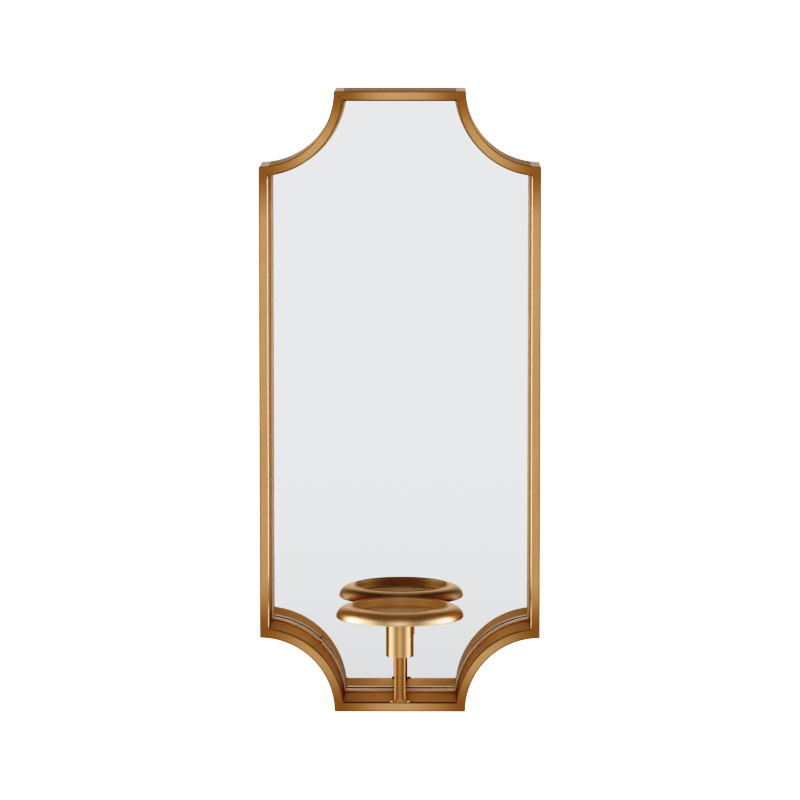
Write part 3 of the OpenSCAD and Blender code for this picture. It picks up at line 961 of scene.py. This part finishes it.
def studio():
    """White backdrop for the camera, and a soft surround whose brightness changes with
    direction. Two softboxes light the sides."""
    world = bpy.data.worlds.new("studio")
    world.use_nodes = True
    bpy.context.scene.world = world
    tree = world.node_tree
    tree.nodes.clear()

    def put(kind, settings=None, *inputs):
        node = tree.nodes.new(kind)
        for key, value in (settings or {}).items():
            setattr(node, key, value)
        for socket, value in zip(node.inputs, inputs):
            if isinstance(value, bpy.types.NodeSocket):
                tree.links.new(value, socket)
            else:
                socket.default_value = value
        return node.outputs[0]

    def ranged(value, low, high, to_low, to_high):
        return put("ShaderNodeMapRange", {"interpolation_type": "SMOOTHSTEP"},
                   value, low, high, to_low, to_high)

    def times(a, b):
        return put("ShaderNodeMath", {"operation": "MULTIPLY"}, a, b)

    def plus(a, b):
        return put("ShaderNodeMath", {"operation": "ADD"}, a, b)

    split = tree.nodes.new("ShaderNodeSeparateXYZ")
    tree.links.new(put("ShaderNodeTexCoord"), split.inputs[0])
    x, y, z = split.outputs
    level = put("ShaderNodeMath", {"operation": "SQRT"}, plus(times(x, x), times(y, y)))
    # 1 straight in front of the sconce, 0 at its sides, -1 behind the wall
    facing = put("ShaderNodeMath", {"operation": "DIVIDE"}, times(y, -1.0), level)

    # A bright window in front, dimmer below, and a darker gap between it and the wall's side
    behind, gap, plateau = 0.85, 0.40, 1.72
    window = ranged(facing, math.cos(math.radians(22)), math.cos(math.radians(6)), 0.0, 1.0)
    window = times(window, plus(1.0, times(ranged(z, -0.25, -0.12, 1.0, 0.0), -0.8)))
    around = plus(ranged(facing, -0.6, 0.3, behind, gap), times(window, plateau - gap))
    above = times(ranged(z, 0.14, 0.55, 1.0, 0.68), ranged(z, 0.5, 0.9, 1.0, 0.45))
    # Pale walls to the left and right, the left one brighter
    sides = times(ranged(facing, 0.50, 0.80, 1.0, 0.0), ranged(facing, -1.0, -0.7, 0.0, 1.0))
    walls = times(ranged(z, 0.35, 0.80, 1.0, 0.0), ranged(x, -0.3, 0.3, 1.6, 1.05))
    strength = plus(times(around, above), times(sides, walls))

    soft = tree.nodes.new("ShaderNodeBackground")
    tree.links.new(strength, soft.inputs["Strength"])
    white = tree.nodes.new("ShaderNodeBackground")
    white.inputs["Strength"].default_value = 2.7
    chooser = tree.nodes.new("ShaderNodeMixShader")
    seen = tree.nodes.new("ShaderNodeLightPath").outputs["Is Camera Ray"]
    tree.links.new(seen, chooser.inputs[0])
    tree.links.new(soft.outputs[0], chooser.inputs[1])
    tree.links.new(white.outputs[0], chooser.inputs[2])
    tree.links.new(chooser.outputs[0], tree.nodes.new("ShaderNodeOutputWorld").inputs[0])

    light_z = MID_Z - 0.1
    middle = Vector((0, FRONT_Y, light_z))
    softbox("softbox_left", (-1.0, 0.42, light_z), middle, 1.6, 1.3, watts=16)
    softbox("softbox_right", (1.08, 0.14, light_z), middle, 1.3, 1.3, watts=8)


def floor():
    """Pale floor that fades into the white surround. It is for the camera only."""
    radii, floor_z = (1.2, 0.9, 0.6, 0.3, 0), -0.75
    fade_from, fade_to = 0.45, 1.15
    bm = lathe([(r, 0) for r in radii], (0, 0, floor_z), 96)
    for face in bm.faces:
        if face.normal.z < 0:
            face.normal_flip()
    mesh = bpy.data.meshes.new("floor")
    bm.to_mesh(mesh)
    bm.free()
    made = bpy.data.objects.new("floor", mesh)
    bpy.context.scene.collection.objects.link(made)
    n = Nodes("pale_floor")
    reach = n.vector("LENGTH", n.vector("MULTIPLY", n.place, (1, 1, 0)))
    below = n.put("ShaderNodeNewGeometry").outputs["Backfacing"]
    shown = n.times(n.ranged(reach, fade_from, fade_to, 1.0, 0.0), n.math("SUBTRACT", 1.0, below))
    n.feed(n.shader.inputs["Alpha"], shown)
    mesh.materials.append(n.set(color=n.mix(n.noise(6.0, 3.0), *FLOOR_TONES), roughness=0.6))
    made.visible_diffuse = made.visible_glossy = made.visible_shadow = False


def camera_tones():
    """A camera's tone curve: deep, rich shadows and a soft shoulder into white."""
    settings = bpy.context.scene.view_settings
    settings.view_transform = "Standard"
    settings.use_curve_mapping = True
    mapping = settings.curve_mapping
    white = 2.0
    mapping.white_level = (white, white, white)
    combined = mapping.curves[3]
    tones = [(0.06, 0.012), (0.14, 0.08), (0.257, 0.22), (0.5, 0.5), (0.8, 0.74), (1.15, 0.87),
             (1.6, 0.96)]
    for light, shown in tones:
        combined.points.new(light / white, shown)
    mapping.update()


camera()
studio()
floor()
camera_tones()
frame_pieces()
stop_strip()
tape()
mirror()
candle_dish()
dish_screw()
stem()
support_post()
turn_buttons()
hanger()
bumpers()
carried_over()
